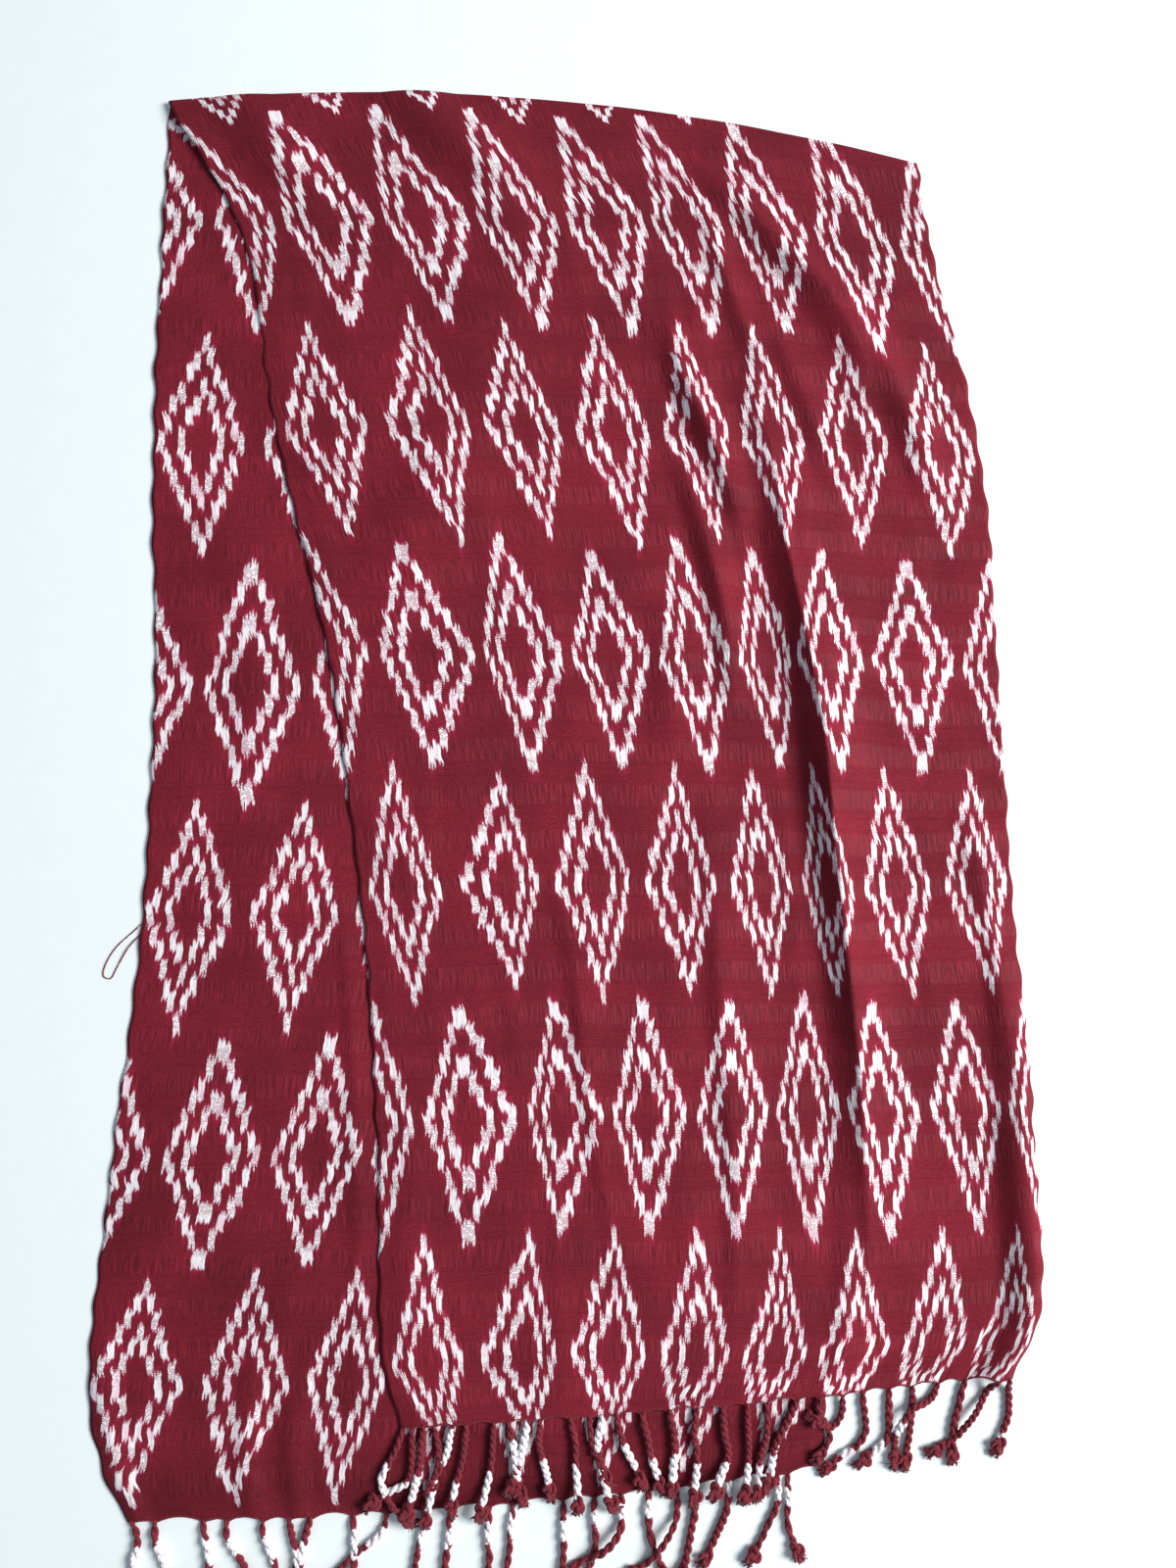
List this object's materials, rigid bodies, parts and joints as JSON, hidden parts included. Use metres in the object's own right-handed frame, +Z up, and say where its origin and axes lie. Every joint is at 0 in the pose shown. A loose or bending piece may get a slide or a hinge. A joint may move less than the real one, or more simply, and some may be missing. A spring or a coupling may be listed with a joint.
{
  "type": "wrap scarf, folded once and laid flat",
  "caption": "Woven cotton shawl with a diamond warp pattern and knotted fringe at both ends, folded once across and laid flat, the upper half slid aside.",
  "frame": {"origin": "middle of the footprint, on the surface that the scarf lies on", "axes": "+Y towards the fold, -Y towards the fringed ends, +X towards the side that the upper half has slid to, +Z up"},
  "size_m": [0.6403, 1.0655, 0.0196],
  "materials": {
    "ikat_cotton": "matte handwoven cotton, burgundy with white tie-dyed warps",
    "fringe_yarn": "matte twisted cotton cords, burgundy and white"
  },
  "bodies": {
    "root": {"lower_layer": "ikat_cotton", "top_fold": "ikat_cotton", "upper_layer": "ikat_cotton", "lower_fringe": "fringe_yarn", "upper_fringe": "fringe_yarn"}
  },
  "joints": []
}
